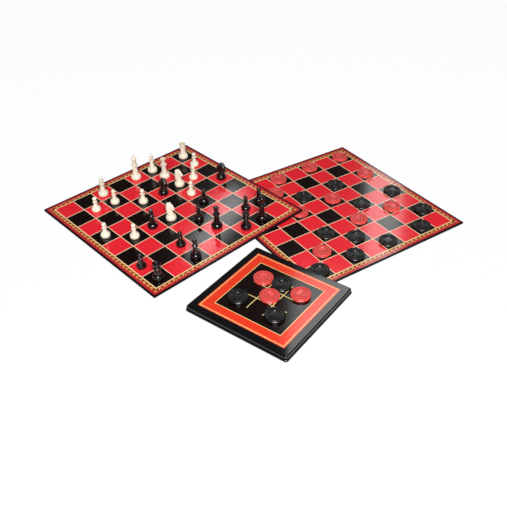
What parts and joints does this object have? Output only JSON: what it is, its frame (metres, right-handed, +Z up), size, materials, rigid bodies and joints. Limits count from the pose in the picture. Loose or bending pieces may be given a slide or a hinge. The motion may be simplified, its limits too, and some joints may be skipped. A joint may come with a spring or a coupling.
{
  "type": "games compendium",
  "caption": "Games set laid out for play: folding chess and draughts boards with their men, and a slim square case with noughts and crosses counters on its lid.",
  "frame": {"origin": "bottom centre of the bounding box of the whole layout, on the table top", "axes": "+X to the viewer's right, +Y away from the viewer, +Z up; the longest extent runs along X and the shortest along Z"},
  "size_m": [0.7646, 0.6238, 0.0613],
  "materials": {
    "greyboard": null,
    "black_paper": "black wrapping paper, satin",
    "red_print": "laminated colour print, gloss",
    "black_print": "laminated colour print, gloss",
    "gold_print": "laminated colour print, gloss",
    "orange_print": "laminated colour print, gloss",
    "hinge_tape": "woven cloth tape",
    "ivory_plastic": "moulded, gloss",
    "black_plastic": "moulded, gloss",
    "coral_plastic": "moulded, satin",
    "charcoal_plastic": "moulded, satin",
    "black_lacquer": "piano gloss",
    "green_felt": "felt",
    "foot_rubber": "matt"
  },
  "bodies": {
    "draughts_board": {"draughts_core_left": "greyboard", "draughts_wrap_left": "black_paper", "draughts_print_left": "red_print", "draughts_core_near": "greyboard", "draughts_wrap_near": "black_paper", "draughts_print_near": "red_print", "draughts_squares_fixed": "black_print", "draughts_tape_fixed": "hinge_tape"},
    "draughts_flap": {"draughts_core_far": "greyboard", "draughts_wrap_far": "black_paper", "draughts_print_far": "red_print", "draughts_core_right": "greyboard", "draughts_wrap_right": "black_paper", "draughts_print_right": "red_print", "draughts_squares_flap": "black_print", "draughts_tape_flap": "hinge_tape"},
    "draughts_men": {"red_draughts": "coral_plastic", "black_draughts": "charcoal_plastic"},
    "chess_board": {"chess_core_left": "greyboard", "chess_wrap_left": "black_paper", "chess_print_left": "red_print", "chess_core_near": "greyboard", "chess_wrap_near": "black_paper", "chess_print_near": "red_print", "chess_squares_fixed": "black_print", "chess_tape_fixed": "hinge_tape"},
    "chess_flap": {"chess_core_far": "greyboard", "chess_wrap_far": "black_paper", "chess_print_far": "red_print", "chess_core_right": "greyboard", "chess_wrap_right": "black_paper", "chess_print_right": "red_print", "chess_squares_flap": "black_print", "chess_tape_flap": "hinge_tape"},
    "chess_men": {"ivory_pawns": "ivory_plastic", "ivory_rook": "ivory_plastic", "ivory_knights": "ivory_plastic", "ivory_bishops": "ivory_plastic", "ivory_queen": "ivory_plastic", "ivory_king": "ivory_plastic", "black_pawns": "black_plastic", "black_rooks": "black_plastic", "black_knights": "black_plastic", "black_bishops": "black_plastic", "black_queen": "black_plastic", "black_king": "black_plastic"},
    "case": {"case_base": "black_lacquer", "case_felt": "green_felt", "case_feet": "foot_rubber"},
    "case_lid": {"case_lid": "black_lacquer", "case_inlay": "orange_print", "case_field": "black_print", "case_lines": "gold_print"},
    "counters": {"red_counters": "coral_plastic", "black_counters": "charcoal_plastic"}
  },
  "joints": [
    {"name": "draughts_fold", "type": "hinge", "parent": "draughts_board", "child": "draughts_flap", "pos_m": [0.14824, 0.07785, 0.00245], "axis": [0.5592, -0.829, 0], "range_deg": [0, 180]},
    {"name": "draughts_men_lift", "type": "slide", "parent": "draughts_board", "child": "draughts_men", "axis": [0, 0, 1], "range_m": [0, 0.55]},
    {"name": "chess_board_lift", "type": "slide", "parent": "draughts_board", "child": "chess_board", "axis": [0, 0, 1], "range_m": [0, 0.55]},
    {"name": "chess_fold", "type": "hinge", "parent": "chess_board", "child": "chess_flap", "pos_m": [-0.14406, 0.06665, 0.00685], "axis": [0.6884, -0.7254, 0], "range_deg": [0, 180]},
    {"name": "chess_men_lift", "type": "slide", "parent": "chess_board", "child": "chess_men", "axis": [-0.0189, -0.0179, 0.9997], "range_m": [0, 0.55]},
    {"name": "case_lift", "type": "slide", "parent": "draughts_board", "child": "case", "axis": [0, 0, 1], "range_m": [0, 0.55]},
    {"name": "lid_lift", "type": "slide", "parent": "case", "child": "case_lid", "axis": [0, 0, 1], "range_m": [0, 0.06]},
    {"name": "counters_lift", "type": "slide", "parent": "case_lid", "child": "counters", "axis": [0, 0, 1], "range_m": [0, 0.06]}
  ],
  "couplings": [
    {"joint": "draughts_men_lift", "follows": "draughts_fold", "m_per_rad": 0.175},
    {"joint": "chess_board_lift", "follows": "draughts_fold", "m_per_rad": 0.175},
    {"joint": "case_lift", "follows": "draughts_fold", "m_per_rad": 0.175},
    {"joint": "chess_men_lift", "follows": "chess_fold", "m_per_rad": 0.175}
  ]
}
